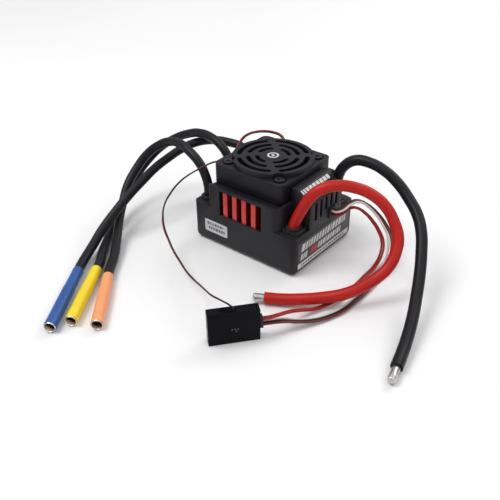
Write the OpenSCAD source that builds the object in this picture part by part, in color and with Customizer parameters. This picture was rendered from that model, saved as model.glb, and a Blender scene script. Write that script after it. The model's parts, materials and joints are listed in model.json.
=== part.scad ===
// Brushless motor speed controller with a cooling fan, its leads and its switch box.
// Millimetres, +Z up, +X towards the battery end, origin at the centre of the case's base.

/* [Case] */
// Length of the case along X
case_l = 58.6; // [56:0.2:62]
// Width of the case along Y
case_w = 48; // [46:0.5:52]
// Height of the two end platforms above the base
shoulder_z = 19.5; // [18.5:0.5:20.5]
// Height of the lip beside the fan
lip_z = 31; // [30.5:0.5:33]
// Thickness of the moulded walls
wall = 1.7; // [1.4:0.1:1.9]
// Radius of the case's outer corners and bottom edges
corner_r = 2.5; // [1.5:0.5:3]
// Height of the hood over the capacitors
hood_z = 37; // [35.5:0.5:38]

/* [Windows] */
// Length of each side window
window_l = 24.2; // [20:0.2:26]
// Height of the window's lower edge
window_z = 17; // [16:0.5:18]
// Height of each side window
window_h = 12.6; // [10:0.2:13]

/* [Heat sink] */
// Distance from one fin to the next
fin_pitch = 5.45; // [4.5:0.05:5.5]
// Thickness of a fin
fin_t = 2.6; // [2:0.1:3]
// Number of fins
fin_count = 6; // [4:1:6]

/* [Fan] */
// Side of the fan's square frame
fan_side = 35; // [34:0.5:35.5]
// Thickness of the fan's frame
fan_h = 10; // [9:0.5:10]
// Distance between the fan's corner screws
screw_pitch = 29; // [28:0.5:30]
// Number of blades
blade_count = 7; // [5:1:9]
// Side of the square fan cover
cover_side = 38.6; // [38:0.1:38.8]
// Width of the bars of the cover's grille
grille_bar = 3.2; // [2.4:0.2:4]

/* [Cables] */
// Diameter of a motor cable over its insulation
motor_d = 4.4; // [4:0.1:4.6]
// Diameter of a battery cable over its insulation
battery_d = 5; // [4.6:0.1:5.2]
// Diameter of each thin wire in the switch leads
wire_d = 1; // [0.9:0.1:1.2]
// Diameter of each wire of the fan's twin lead
fan_wire_d = 0.7; // [0.7:0.1:1]
// Bore of a bullet socket
socket_bore_d = 4; // [3.5:0.5:4]
// Outer diameter of a bullet socket
socket_d = 4.8; // [4.6:0.1:5]
// Outer diameter of the sleeve over a bullet socket
sleeve_d = 5.3; // [5.2:0.1:5.6]

/* [Switch box] */
// Length of the box
box_l = 20.6; // [20:0.2:24]
// Height of the box as it stands
box_h = 14.8; // [14:0.2:16]
// Thickness of the box
box_t = 4.6; // [4.6:0.2:6]
// Travel of the slide switch
switch_travel = 2; // [1.5:0.1:2.2]

/* [Hidden] */
$fn = 48;
eps = 0.01;
gap = 0.1;

// Places along the case
fan_x = -0.65;
housing_x0 = -20.2;
housing_x1 = 20.5;
floor_t = 1.6;
deck_t = 2.2;
window_x = -13;
collar_l = 7.7;
collar_w = 8.6;
collar_y = 17.2;
bridge_h = 1.8;
fan_z = 29.2;
fan_top_z = fan_z + fan_h;
plate_top_z = fan_top_z + 0.8;
disc_top_z = plate_top_z + 2;
cover_x = -0.9;
battery_x = 24;
battery_y = 17;
motor_x = -25.5;
motor_y = 17.5;
collar_z = shoulder_z + 1.8;
board_z = 6;
board_t = 1.6;
control_board_z = 3.2;
control_board_t = 1;
chip_t = 0.9;
hood_y = 12.5;
control_y = 5;
control_z = 21;
fin_base_z = 15.6;
fin_base_t = 2.4;
fin_foot_z = 9.5;
fin_reach = 23.5;
fin_x = -1.75;
fin_spread = 0.8;
mosfet_h = 1.3;
pad_h = 0.6;
post_h = 4.4;
inner_l = case_l - 2 * wall;
inner_w = case_w - 2 * wall;
plate_l = 52.6;
plate_w = 42;
board_l = 54;
board_w = 43;
control_board_l = 28;
control_board_w = 26;
stand_y = 10;
base_l = 32.4;
base_w = 40;
foot_l = 26;
foot_w = 28;
capacitor_r = 3.1;
capacitor_h = 22.4;
capacitor_pitch = 7;

// Bosses that hold the bottom plate, and its screws
boss_x0 = -19.3;
boss_x1 = 18;
ledge_z = 29.4;
ledge_t = 0.9;
ledge_y = 19.4;
ledge_w = 3;
boss_y = 19;
boss_h = 13.4;
rib_l = 3.8;
rib_t = 2;
boss_r = 2.2;
screw_r = 0.9;
screw_head_r = 1.7;

// Fan screws
fan_screw_r = 1.25;
fan_head_d = 4.6;
fan_head_h = 1;
counterbore_r = 3.15;
counterbore_h = 2.4;
cover_corner_r = 2.8;
fan_head_z = disc_top_z - counterbore_h;
disc_r = 18.9;

// Rotor and stator
bore_r = 16.6;
blade_r = 16.1;
hub_r = 7.4;
hub_in_r = 6.6;
rotor_z = 31.1;
hub_top_z = 38.3;
blade_t = 0.9;
frame_floor_t = 1.2;
shaft_r = 0.75;
shaft_fit = 0.05;
bearing_r = 1.75;
bearing_tube_r = 2.5;

// Hood, grille, labels, sockets and wires
hood_top_x = 22.6;
hood_rear_x = 18.8;
hood_front_z = 31;
hood_slot_pitch = 4;
hood_slot_w = 1.7;
hood_slot_z = [22.4, 22.4, 24.6, 24.6, 23.8];
hood_label_l = 21.4;
hood_label_w = 1.9;
slot_rings = [[6.3, 8.3, 22], [10.3, 12.5, 13], [14.5, 16.8, 5]];
label_t = 0.15;
side_label_at = [-22.5, 5.8];
side_label_size = [13.8, 6.3];
end_label_at = [-20.9, 2.6];
end_label_size = [41.5, 13.4];
lead_x = -8;
lead_slot_z = 34.7;
socket_depth = 15;
wire_gap = wire_d * 1.05;

// Rubber grommets: bore follows the cable, neck sits in the case's hole
motor_neck_r = 2.8;
battery_neck_r = 3.1;
flange_t = 0.7;
flange_over = 0.45;
boss_top_z = shoulder_z + 0.8;
capacitor_x = 23.7;

// Cable hole in the hood
control_w = 4.6;
control_h = 4;

// Where each sleeve starts and where its open end lies
sleeve_a = [[-33.2, -76.2, 2.8], [-11.5, -100.8, 2.8]];
sleeve_b = [[-41.2, -76, 2.8], [-21.6, -105.7, 2.8]];
sleeve_c = [[-47, -81.6, 2.8], [-25, -113.5, 2.8]];
neck_share = 0.36;
rim = 0.5;
lead_in = 1;
tip_d = 3.8;
tip_red_l = 5;
tip_black_l = 7.6;

// Switch box: its front bottom corner, and the direction of its length
box_at = [29.9, -80.5, 0];
box_a = 50.56;
box_u = [cos(box_a), sin(box_a), 0];
box_v = [-sin(box_a), cos(box_a), 0];
box_wall = 1.2;
relief_l = 1.4;
relief_w = 3.5;
relief_z = 5;
relief_h = 4.8;
signal_z = 6.2;
power_z = 8.5;
relief_at = box_at + (box_l + relief_l) * box_u + box_t / 2 * box_v;
slider_x = 5;
slide_l = 8;
slide_w = 4.4;
tact_w = 5;
lead_hole = [10.7, 2.2];
lead_hole_r = 0.9;
slider_w = 2.6;
slider_h = 1.4;
clear = 0.3;
slide_z = 7.4;
tact_x = 15.2;
tact_z = 7.4;
button_r = 1.4;
led_x = 11.8;
led_z = 12;
led_r = 1;
rear_y = box_t - box_wall;
board_y = 1.3;
switch_y = 1.8;
slide_h = 1.5;
tact_h = 1;
slot_d = 0.9;
slider_y = switch_y + slide_h - slot_d + clear;

function unit(v) = v / norm(v);
// Direction of a route at point i
function heading(p, i) = unit(p[min(i + 1, len(p) - 1)] - p[max(i - 1, 0)]);
// Level direction square to a route's heading
function beside(p, i) = unit(cross(heading(p, i), [0, 0, 1]));
// The same route, shifted sideways
function offset_route(p, side) = [for (i = [0 : len(p) - 1]) p[i] + side * beside(p, i)];

// Routes of the leads, from the board out to the far end
route_motor_a = [[-25.5, -17.5, 12], [-25.5, -17.5, 20], [-25.5, -17.5, 25], [-27, -17.5, 30.5],
    [-31, -17, 35.5], [-38, -16, 39], [-46, -14, 40], [-54, -13, 38.5], [-61, -14.5, 35],
    [-66, -18, 30], [-68, -24, 24], [-67, -31.5, 18.5], [-63.5, -39, 12.5], [-58, -47, 8],
    [-51, -55, 5], [-43, -64, 3], [-36, -73, 2.8]];
route_motor_b = [[-25.5, 0, 12], [-25.5, 0, 20], [-25.5, 0, 26], [-28, 0.5, 32], [-33, 1.5, 36.5],
    [-41, 3, 38.5], [-50, 4.5, 38], [-59, 5, 35], [-67, 3, 31], [-72.5, -2, 26.5], [-75, -9, 21.5],
    [-75, -18, 16], [-73, -27, 11], [-68.5, -37, 7], [-63, -47, 4], [-56, -57, 2.8],
    [-50, -65, 2.8], [-43.5, -72.5, 2.8]];
route_motor_c = [[-25.5, 17.5, 12], [-25.5, 17.5, 20], [-26, 17.5, 24.5], [-28.5, 17, 28.5],
    [-33, 16.5, 31], [-39.5, 15, 32], [-47, 11.5, 32.5], [-54, 5.5, 31.5], [-57.5, -2, 29.5],
    [-58, -11, 28], [-58, -20.5, 26], [-57.5, -30, 23], [-57.5, -39.5, 19], [-57.5, -49, 14],
    [-57, -58, 9], [-54.5, -67, 5], [-49.5, -78, 2.8]];
route_battery_red = [[24, -17, 12], [24, -17, 18], [24, -17, 22], [25.4, -16.6, 26.5],
    [27.5, -15.9, 31.5], [29.7, -14.9, 36.3], [32.7, -12.4, 40.3], [38, -8, 42.5],
    [45, -3.5, 42], [52, -0.5, 39.5], [58, 0.5, 35.5], [62.5, 0, 30.5], [66.5, -2.5, 25.5],
    [68, -6, 21], [68, -10, 16.5],
    [66, -15, 12.5], [62.5, -21, 9.5], [58, -27, 7], [51.5, -32, 5], [43.5, -37.5, 3.5],
    [36, -42, 2.6], [30, -45.5, 2.6]];
route_battery_black = [[24, 17, 12], [24, 17, 21], [24, 17, 28], [24.5, 17, 33.5], [26.5, 18, 38],
    [31, 19.5, 41.5], [37.5, 20.5, 42], [45, 21, 40.2], [52.5, 20.5, 36.5], [59.5, 18.5, 32],
    [66, 15, 27.8], [71.2, 9.5, 23.6], [75.2, 3, 19], [79, -4.5, 14.5], [83, -14, 10],
    [87, -24.5, 6.5], [90.5, -36, 3.8], [93.5, -48, 2.6]];
route_fan_lead = [[-8, 17.5, 36], [-8, 18.9, 36.2], [-8.5, 20.3, 37.7], [-9.5, 20.5, 39.5],
    [-11.5, 20.5, 41.5], [-15.5, 19.5, 42.5], [-19, 17, 43], [-21, 13, 43.5], [-21.5, 8, 44],
    [-21.5, 3.5, 43.3], [-21.5, 0.5, 41], [-21.5, -2.5, 38.6], [-21.5, -6.5, 37.4],
    [-21.5, -11.5, 37.5], [-22.1, -17.4, 38.7], [-23.5, -24.5, 38], [-26, -29, 36], [-29, -33, 32.5], [-31, -37, 28],
    [-32, -40.5, 23], [-31, -43, 18], [-28.5, -45, 14], [-24, -47, 10.5], [-19, -49.5, 8.5],
    [-12, -52.5, 7], [-4, -56.5, 7], [4, -60, 8], [10, -63.5, 10.8], [17, -67.5, 13.8],
    [24, -70.9, 16.2], [30.4, -71.6, 16.9], [33.4, -71.3, 16.4], [34.9, -70.9, 15.2],
    [35.05, -70.8, 13.8]];
route_signal = [[30, 5, 22], [31.5, 5, 22], [33.3, 7, 22.6], [34.5, 11.5, 24], [36.5, 16, 24],
    [40, 19, 21.5], [44, 20.5, 18], [48.5, 20, 14.5], [53, 18, 11], [56.5, 13, 7.5], [58.5, 6, 4],
    [59, -2, 1.5], [59.5, -12, 1], [59.5, -21, 1], [59, -29.5, 1], [57, -36.5, 1], [54, -43, 1.5],
    [50.5, -49, 3], [46.7, -54.8, 5]];
route_power = [[30, 5, 20], [31.5, 5, 20], [33.3, 7.2, 20.3], [34.5, 11.5, 21.5], [36, 15.5, 20.5],
    [39, 18, 18], [43, 18.5, 15], [47.5, 17.5, 11.5], [51, 15.5, 8], [53, 11.5, 4.5], [54, 5, 2],
    [54, -4.5, 1], [54.5, -15, 1.2], [54, -24, 1.5], [52.5, -31, 1.5], [50, -37.5, 1.6],
    [47, -44, 3.5], [46, -50, 6], [45.6, -55.5, 8]];

// A thin wire of the switch leads ends square to the strain relief's face, at height z
function to_relief(p, side, z) = concat(p,
    [for (out = [2.5, 0]) relief_at + out * box_u + side * box_v + [0, 0, z]]);
// Two wires side by side that turn round each other: r from their middle line, which is mid from
// the route, by this turn between points i0 and i1
function twisted(p, mid, r, start, turn, i0, i1) = [for (i = [0 : len(p) - 1])
    let (t = start + turn * min(max((i - i0) / (i1 - i0), 0), 1), b = beside(p, i))
    p[i] + (mid + r * cos(t)) * b + r * sin(t) * cross(b, heading(p, i))];
// A motor cable runs straight into its sleeve, as far as the socket
function into_sleeve(p, s) = let (u = unit(s[1] - s[0]), neck = neck_share * norm(s[1] - s[0]))
    concat(p, [for (t = [-lead_in, 0, neck]) s[0] + t * u]);

// Direction across a route at point i, carried along it without twisting
function across(p, i) = let (h = heading(p, i), n = i > 0 ? across(p, i - 1)
    : cross(h, abs(h.z) < 0.9 ? [0, 0, 1] : [1, 0, 0])) unit(n - (n * h) * h);
function ring(p, i, r, sides) = let (h = heading(p, i), n = across(p, i), m = cross(h, n))
    [for (k = [0 : sides - 1]) p[i] + r * (cos(k * 360 / sides) * n + sin(k * 360 / sides) * m)];

// A round cable swept along a route
module sweep(p, d, sides) {
    last = len(p) - 1;
    polyhedron(
        points = [for (i = [0 : last]) each ring(p, i, d / 2, sides)],
        faces = concat([[for (k = [0 : sides - 1]) k]],
            [[for (k = [sides - 1 : -1 : 0]) last * sides + k]],
            [for (i = [0 : last - 1], k = [0 : sides - 1], half = [0, 1])
                let (a = i * sides + k, b = i * sides + (k + 1) % sides)
                half == 0 ? [a, a + sides, b + sides] : [a, b + sides, b]]));
}
module cable(p, d) sweep(p, d, 10);
module wire(p, d) sweep(p, d, 8);

// Puts +Z along the line from a to b, standing at a
module along(a, b) {
    v = b - a;
    translate(a) rotate([0, acos(v.z / norm(v)), atan2(v.y, v.x)]) children();
}
module tube(r_out, r_in, h) difference() {
    cylinder(r = r_out, h = h);
    translate([0, 0, -eps]) cylinder(r = r_in, h = h + 2 * eps);
}
// A flat block with round corners, centred on the axis
module slab(l, w, h, r) {
    translate([-l / 2 + r, -w / 2, 0]) cube([l - 2 * r, w, h]);
    translate([-l / 2, -w / 2 + r, 0]) cube([l, w - 2 * r, h]);
    for (x = [-1, 1], y = [-1, 1])
        translate([x * (l / 2 - r), y * (w / 2 - r), 0]) cylinder(r = r, h = h);
}
// The same block, with its bottom edges rounded too
module soft_slab(l, w, h, r) {
    translate([0, 0, r]) slab(l, w, h - r, r);
    translate([-l / 2 + r, -w / 2 + r, 0]) cube([l - 2 * r, w - 2 * r, h]);
    for (x = [-1, 1]) translate([x * (l / 2 - r), -w / 2 + r, r])
        rotate([-90, 0, 0]) cylinder(r = r, h = w - 2 * r);
    for (y = [-1, 1]) translate([-l / 2 + r, y * (w / 2 - r), r])
        rotate([0, 90, 0]) cylinder(r = r, h = l - 2 * r);
    for (x = [-1, 1], y = [-1, 1])
        translate([x * (l / 2 - r), y * (w / 2 - r), r]) sphere(r = r);
}
module at_motor() for (y = [-1, 0, 1]) translate([motor_x, y * motor_y, 0]) children();
module at_battery() for (y = [-1, 1]) translate([battery_x, y * battery_y, 0]) children();
module at_bosses() for (x = [boss_x0, boss_x1], y = [-1, 1]) translate([x, y * boss_y, 0]) children();
module at_fan_screws() for (x = [-1, 1], y = [-1, 1])
    translate([fan_x + x * screw_pitch / 2, y * screw_pitch / 2, 0]) children();
module at_box() translate(box_at) rotate([0, 0, box_a]) children();

// ---- Case ----
module hood_profile(inset) translate([0, hood_y - inset, 0]) rotate([90, 0, 0])
    linear_extrude(2 * (hood_y - inset)) polygon([
        [hood_rear_x + inset, shoulder_z - deck_t - eps], [case_l / 2 - inset, shoulder_z - deck_t - eps],
        [case_l / 2 - inset, hood_front_z - inset / 2], [hood_top_x - inset / 2, hood_z - inset],
        [hood_rear_x + inset, hood_z - inset]]);
module window_cut() translate([window_x, -case_w, window_z]) cube([window_l, 2 * case_w, window_h]);
module hood_slots() for (n = [-2 : 2]) {
    low = hood_slot_z[n + 2];
    translate([case_l / 2 - 2 * wall, n * hood_slot_pitch - hood_slot_w / 2, low])
        cube([3 * wall, hood_slot_w, hood_front_z - low]);
}
module case_outside() {
    soft_slab(case_l, case_w, shoulder_z, corner_r);
    translate([(housing_x0 + housing_x1) / 2, 0, shoulder_z - deck_t])
        slab(housing_x1 - housing_x0, case_w, lip_z - shoulder_z + deck_t, 4);
    translate([housing_x0 + 8, 0, shoulder_z - deck_t]) slab(16, case_w, lip_z - shoulder_z + deck_t, 2);
    hood_profile(0);
    for (y = [-1, 1]) translate([battery_x + 0.35, y * collar_y, shoulder_z - eps])
        slab(collar_l, collar_w, collar_z - shoulder_z + eps, 1);
    translate([housing_x1 - 1, -collar_y, shoulder_z - eps]) cube([3, 2 * collar_y, bridge_h]);
    at_motor() translate([0, 0, shoulder_z - deck_t])
        cylinder(r = motor_neck_r + 0.9, h = boss_top_z - shoulder_z + deck_t);
}
module case_inside() {
    translate([0, 0, floor_t]) slab(inner_l, inner_w, shoulder_z - deck_t - floor_t, 1);
    translate([0, 0, -eps]) slab(plate_l + 2 * gap, plate_w + 2 * gap, floor_t + 1, 1);
    translate([housing_x0 + wall, -inner_w / 2, shoulder_z - deck_t - 1])
        cube([housing_x1 - housing_x0 - 2 * wall, inner_w, lip_z]);
    hood_profile(wall);
    translate([housing_x0 - 1, -case_w / 2 + wall, fan_z]) cube([3, inner_w, lip_z]);
}
module case_shell() color([0.19, 0.19, 0.21]) difference() {
    union() {
        difference() {
            case_outside();
            case_inside();
        }
        intersection() {
            union() {
                at_bosses() translate([0, 0, floor_t]) cylinder(r = boss_r, h = boss_h);
                for (x = [boss_x0, boss_x1], y = [-1, 1])
                    translate([x, y * (boss_y + rib_l / 2), floor_t + boss_h / 2])
                        cube([rib_t, rib_l, boss_h], center = true);
                for (y = [-1, 1])
                    translate([housing_x0 + 1, y * (ledge_y + ledge_w / 2) - ledge_w / 2, ledge_z])
                        cube([housing_x1 - housing_x0 - 2, ledge_w, ledge_t]);
            }
            translate([0, 0, floor_t]) slab(case_l - 2, case_w - 2, lip_z, corner_r);
        }
    }
    window_cut();
    hood_slots();
    translate([0, 0, shoulder_z - deck_t - eps]) {
        at_motor() cylinder(r = motor_neck_r, h = lip_z);
        at_battery() cylinder(r = battery_neck_r, h = lip_z);
    }
    translate([0, 0, shoulder_z - deck_t - 2 * flange_t]) {
        at_motor() cylinder(r = motor_neck_r + flange_over, h = 2 * flange_t);
        at_battery() cylinder(r = battery_neck_r + flange_over, h = 2 * flange_t);
    }
    at_bosses() cylinder(r = screw_r, h = 9);
    translate([case_l / 2 - 2 * wall, control_y - control_w / 2, control_z - control_h / 2])
        cube([3 * wall, control_w, control_h]);
    translate([0, -case_w / 2 - eps, -eps]) cube([4, 1.6 + corner_r, 0.8]);
}
module bottom_plate() color([0.16, 0.16, 0.18]) difference() {
    union() {
        slab(plate_l, plate_w, floor_t, 1);
        for (x = [-23, 23], y = [-stand_y, stand_y]) translate([x, y, 0]) cylinder(r = 1.8, h = board_z);
        for (x = [-11, 11], y = [-stand_y, stand_y]) translate([x, y, 0])
            cylinder(r = 1.5, h = control_board_z);
    }
    at_bosses() translate([0, 0, -eps]) cylinder(r = screw_r + gap, h = 2 * floor_t);
    at_bosses() translate([0, 0, -gap]) cylinder(r = screw_head_r + gap, h = 1 + gap);
}
module bottom_screws() color([0.35, 0.35, 0.37]) at_bosses() difference() {
    translate([0, 0, 0.1]) union() {
        cylinder(r = screw_head_r, h = 0.9);
        cylinder(r = screw_r, h = 7.4);
    }
    for (a = [0, 90]) rotate([0, 0, a]) translate([-1.1, -0.2, 0]) cube([2.2, 0.4, 0.6]);
}

// ---- Power stage ----
module heat_sink() color([0.82, 0.2, 0.18]) difference() {
    union() {
        translate([fan_x - base_l / 2, -base_w / 2, fin_base_z]) cube([base_l, base_w, fin_base_t]);
        translate([fan_x - foot_l / 2, -foot_w / 2, fin_foot_z])
            cube([foot_l, foot_w, fin_base_z - fin_foot_z + eps]);
        for (n = [0 : fin_count - 1]) {
            outer = n == 0 ? -1 : n == fin_count - 1 ? 1 : 0;
            x = fin_x + (n - (fin_count - 1) / 2) * fin_pitch + outer * fin_spread - fin_t / 2;
            translate([x, gap - inner_w / 2, fin_base_z])
                cube([fin_t, inner_w - 2 * gap, fan_z - fin_base_z]);
            if (outer == 0) translate([x, -fin_reach, window_z])
                cube([fin_t, 2 * fin_reach, fan_z - window_z]);
        }
        at_fan_screws() translate([0, 0, fin_base_z]) cylinder(r = 2.25, h = fan_z - fin_base_z);
    }
    at_fan_screws() translate([0, 0, fin_base_z + 4]) cylinder(r = fan_screw_r, h = fan_z);
}
module thermal_pad() color([0.55, 0.6, 0.66])
    translate([fan_x - foot_l / 2, -foot_w / 2, fin_foot_z - pad_h]) cube([foot_l, foot_w, pad_h]);
module power_board() color([0.08, 0.2, 0.12]) difference() {
    translate([0, 0, board_z]) slab(board_l, board_w, board_t, 1);
    at_bosses() cylinder(r = boss_r + 0.4, h = lip_z);
    for (x = [boss_x0, boss_x1], y = [-1, 1]) translate([x, y * (boss_y + rib_l / 2), board_z])
        cube([2 * boss_r + 0.8, rib_l, lip_z], center = true);
}
module mosfet_bank() color([0.12, 0.12, 0.13])
    for (x = [-10, -3.3, 3.3, 10], y = [-10, -3.3, 3.3, 10])
        translate([fan_x + x - 2.5, y - 3, board_z + board_t]) cube([5, 6, mosfet_h]);
module power_posts() color([0.72, 0.45, 0.25]) {
    at_motor() translate([0, 0, board_z + board_t]) cylinder(r = 2, h = post_h);
    at_battery() translate([0, 0, board_z + board_t]) cylinder(r = 2, h = post_h);
}
module control_board() color([0.07, 0.14, 0.24])
    translate([0, 0, control_board_z]) slab(control_board_l, control_board_w, control_board_t, 1);
module control_chip() color([0.1, 0.1, 0.11])
    translate([-6.5, -3.5, control_board_z + control_board_t]) cube([7, 7, chip_t]);
module board_header() color([0.8, 0.68, 0.3]) for (n = [-3 : 3])
    translate([9, n * 2 - 0.3, control_board_z + control_board_t])
        cube([0.6, 0.6, board_z - control_board_z - control_board_t]);
module input_capacitors() color([0.15, 0.16, 0.2]) for (y = [-1, 0, 1])
    translate([capacitor_x, y * capacitor_pitch, board_z + board_t]) difference() {
        cylinder(r = capacitor_r, h = capacitor_h);
        translate([0, 0, 2.4]) difference() {
            cylinder(r = capacitor_r + 1, h = 0.8);
            cylinder(r = capacitor_r - 0.3, h = 0.8);
        }
    }

// ---- Fan ----
module at_fan(z) translate([fan_x, 0, z]) children();
module fan_frame() color([0.1, 0.1, 0.11]) difference() {
    union() {
        difference() {
            at_fan(fan_z) slab(fan_side, fan_side, fan_h, 2);
            at_fan(0) cylinder(r = bore_r, h = 2 * lip_z, $fn = 72);
        }
        at_fan(fan_z) {
            cylinder(r = hub_in_r, h = frame_floor_t);
            for (a = [20 : 90 : 290]) rotate([0, 0, a]) translate([0, -1, 0])
                cube([bore_r + 0.4, 2, frame_floor_t]);
            cylinder(r = bearing_tube_r, h = hub_top_z - fan_z - 2);
        }
    }
    at_fan(fan_z + 1) cylinder(r = bearing_r, h = fan_h);
    at_fan_screws() cylinder(r = 1.7, h = 2 * lip_z);
}
module fan_bearing() color([0.7, 0.6, 0.4])
    at_fan(fan_z + 1) tube(bearing_r, shaft_r + shaft_fit, hub_top_z - fan_z - 3);
module fan_stator() color([0.7, 0.4, 0.2]) at_fan(rotor_z) difference() {
    union() {
        tube(3.4, bearing_tube_r, 4);
        for (a = [0 : 90 : 270]) rotate([0, 0, a]) {
            translate([3, -0.8, 0.6]) cube([1.8, 1.6, 2.8]);
            translate([4, -2, 0.4]) cube([0.9, 4, 3.2]);
        }
    }
    translate([0, 0, -1]) cylinder(r = bearing_tube_r, h = 6);
}
module rotor_magnet() color([0.3, 0.3, 0.32]) at_fan(rotor_z) tube(hub_in_r, 5.6, 4.6);
module fan_shaft() color([0.75, 0.75, 0.78])
    at_fan(fan_z + 1.5) cylinder(r = shaft_r, h = hub_top_z - fan_z - 2.7);
module fan_impeller() color([0.13, 0.13, 0.15]) at_fan(0) {
    translate([0, 0, rotor_z]) tube(hub_r, hub_in_r, hub_top_z - rotor_z);
    translate([0, 0, hub_top_z - 1.2]) cylinder(r = hub_r - eps, h = 1.2);
    intersection() {
        translate([0, 0, rotor_z]) tube(blade_r, hub_r - 0.3, hub_top_z - rotor_z - 0.4);
        for (n = [0 : blade_count - 1]) rotate([0, 0, n * 360 / blade_count])
            translate([hub_r - 0.4, 0, (rotor_z + hub_top_z) / 2]) rotate([38, 0, 12])
                translate([0, -5.4, -blade_t / 2]) cube([blade_r, 10.8, blade_t]);
    }
}
// One slot of the grille: an arc between two bars, with round ends
module arc_slot(r0, r1, h) {
    mid = (r0 + r1) / 2;
    half = (r1 - r0) / 2;
    trim = asin((grille_bar / 2 + half) / mid);
    rotate([0, 0, trim]) rotate_extrude(angle = 90 - 2 * trim, $fn = 96)
        translate([r0, 0]) square([r1 - r0, h]);
    for (a = [trim, 90 - trim]) rotate([0, 0, a]) translate([mid, 0, 0]) cylinder(r = half, h = h);
}
module fan_cover() color([0.2, 0.2, 0.22]) difference() {
    union() {
        translate([cover_x, 0, fan_z + gap])
            slab(cover_side, cover_side, plate_top_z - fan_z - gap, cover_corner_r);
        at_fan(plate_top_z - 0.2) cylinder(r = disc_r, h = disc_top_z - plate_top_z + 0.2, $fn = 96);
    }
    at_fan(fan_z - 1) slab(35.3, 35.3, fan_top_z - fan_z + 1, 1.6);
    at_fan(fan_top_z - 1) for (s = slot_rings, q = [0 : 3])
        rotate([0, 0, 45 - s[2] + 90 * q]) arc_slot(s[0], s[1], 5);
    at_fan_screws() cylinder(r = fan_screw_r + gap, h = 2 * lip_z);
    at_fan_screws() translate([0, 0, disc_top_z - counterbore_h]) cylinder(r = counterbore_r, h = 4);
    translate([lead_x - 1.5, fan_side / 2, lead_slot_z]) cube([3, 3, 2.9]);
}
module fan_screws() color([0.6, 0.6, 0.63]) at_fan_screws() difference() {
    union() {
        translate([0, 0, fan_head_z]) cylinder(d = fan_head_d, h = fan_head_h);
        translate([0, 0, fin_base_z + 5]) cylinder(r = fan_screw_r, h = fan_head_z - fin_base_z - 4.8);
    }
    translate([0, 0, fan_head_z + 0.3]) cylinder(d = 2.4, h = 2, $fn = 6);
}
module hub_badge() color([0.9, 0.9, 0.9]) at_fan(disc_top_z) {
    tube(2.7, 1.9, label_t);
    cylinder(r = 0.8, h = label_t);
}

// ---- Labels ----
module side_label() color([0.93, 0.93, 0.93])
    translate([side_label_at.x, -case_w / 2 - label_t, side_label_at.y])
        cube([side_label_size.x, label_t, side_label_size.y]);
module end_label() color([0.14, 0.14, 0.16])
    translate([case_l / 2, end_label_at.x, end_label_at.y])
        cube([label_t, end_label_size.x, end_label_size.y]);
module hood_label() color([0.88, 0.88, 0.88]) translate([hood_top_x, 0, hood_z])
    rotate([0, atan2(hood_z - hood_front_z, case_l / 2 - hood_top_x), 0])
        translate([0.9, -11.6, 0]) cube([hood_label_w, hood_label_l, label_t]);

// ---- Grommets ----
// Turned ring with a groove for the deck, which sits between z0 and z1
module grommet(neck_r, bore, z0, z1) translate([0, 0, z0 - flange_t]) difference() {
    union() {
        cylinder(r = neck_r, h = z1 - z0 + 2 * flange_t);
        for (z = [0, z1 - z0 + flange_t]) translate([0, 0, z])
            cylinder(r = neck_r + flange_over, h = flange_t);
    }
    translate([0, 0, -eps]) cylinder(d = bore, h = 9);
}
module motor_grommets() color([0.1, 0.1, 0.1])
    at_motor() grommet(motor_neck_r, motor_d, shoulder_z - deck_t, boss_top_z);
module battery_grommets() color([0.1, 0.1, 0.1])
    at_battery() grommet(battery_neck_r, battery_d, shoulder_z - deck_t, collar_z);
module control_grommet() color([0.1, 0.1, 0.1]) {
    translate([case_l / 2 - wall - flange_t, control_y - control_w / 2, control_z - control_h / 2])
        cube([wall + 2 * flange_t, control_w, control_h]);
    for (x = [case_l / 2 - wall - flange_t, case_l / 2]) translate([x, control_y, control_z])
        translate([0, -control_w / 2 - flange_over, -control_h / 2 - flange_over])
            cube([flange_t, control_w + 2 * flange_over, control_h + 2 * flange_over]);
}

// ---- Leads ----
module motor_cable_a() color([0.12, 0.12, 0.13]) cable(into_sleeve(route_motor_a, sleeve_a), motor_d);
module motor_cable_b() color([0.12, 0.12, 0.13]) cable(into_sleeve(route_motor_b, sleeve_b), motor_d);
module motor_cable_c() color([0.12, 0.12, 0.13]) cable(into_sleeve(route_motor_c, sleeve_c), motor_d);
module socket(s) {
    reach = norm(s[1] - s[0]);
    neck = neck_share * reach;
    along(s[0], s[1]) translate([0, 0, neck]) difference() {
        cylinder(d = socket_d, h = reach - neck + rim);
        translate([0, 0, reach - neck + rim - socket_depth])
            cylinder(d = socket_bore_d, h = socket_depth + 1);
    }
}
module sleeve(s) {
    reach = norm(s[1] - s[0]);
    neck = neck_share * reach;
    along(s[0], s[1]) difference() {
        union() {
            cylinder(d = motor_d + 0.5, h = neck);
            translate([0, 0, neck - 0.8]) cylinder(d = sleeve_d, h = reach - neck + 0.8);
        }
        translate([0, 0, -eps]) cylinder(d = motor_d, h = neck + 2 * eps);
        translate([0, 0, neck]) cylinder(d = socket_d, h = reach);
    }
}
module bullet_socket_a() color([0.85, 0.65, 0.3]) socket(sleeve_a);
module bullet_socket_b() color([0.85, 0.65, 0.3]) socket(sleeve_b);
module bullet_socket_c() color([0.85, 0.65, 0.3]) socket(sleeve_c);
module motor_sleeve_a() color([1, 0.55, 0.3]) sleeve(sleeve_a);
module motor_sleeve_b() color([0.98, 0.85, 0.1]) sleeve(sleeve_b);
module motor_sleeve_c() color([0.15, 0.3, 0.7]) sleeve(sleeve_c);
module battery_cable_red() color([0.8, 0.1, 0.08]) cable(route_battery_red, battery_d);
module battery_cable_black() color([0.1, 0.1, 0.11]) cable(route_battery_black, battery_d);
module tip(p, l) {
    a = p[len(p) - 1];
    along(a, a + heading(p, len(p) - 1)) cylinder(d = tip_d, h = l);
}
module battery_tip_red() color([0.78, 0.78, 0.8]) tip(route_battery_red, tip_red_l);
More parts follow.
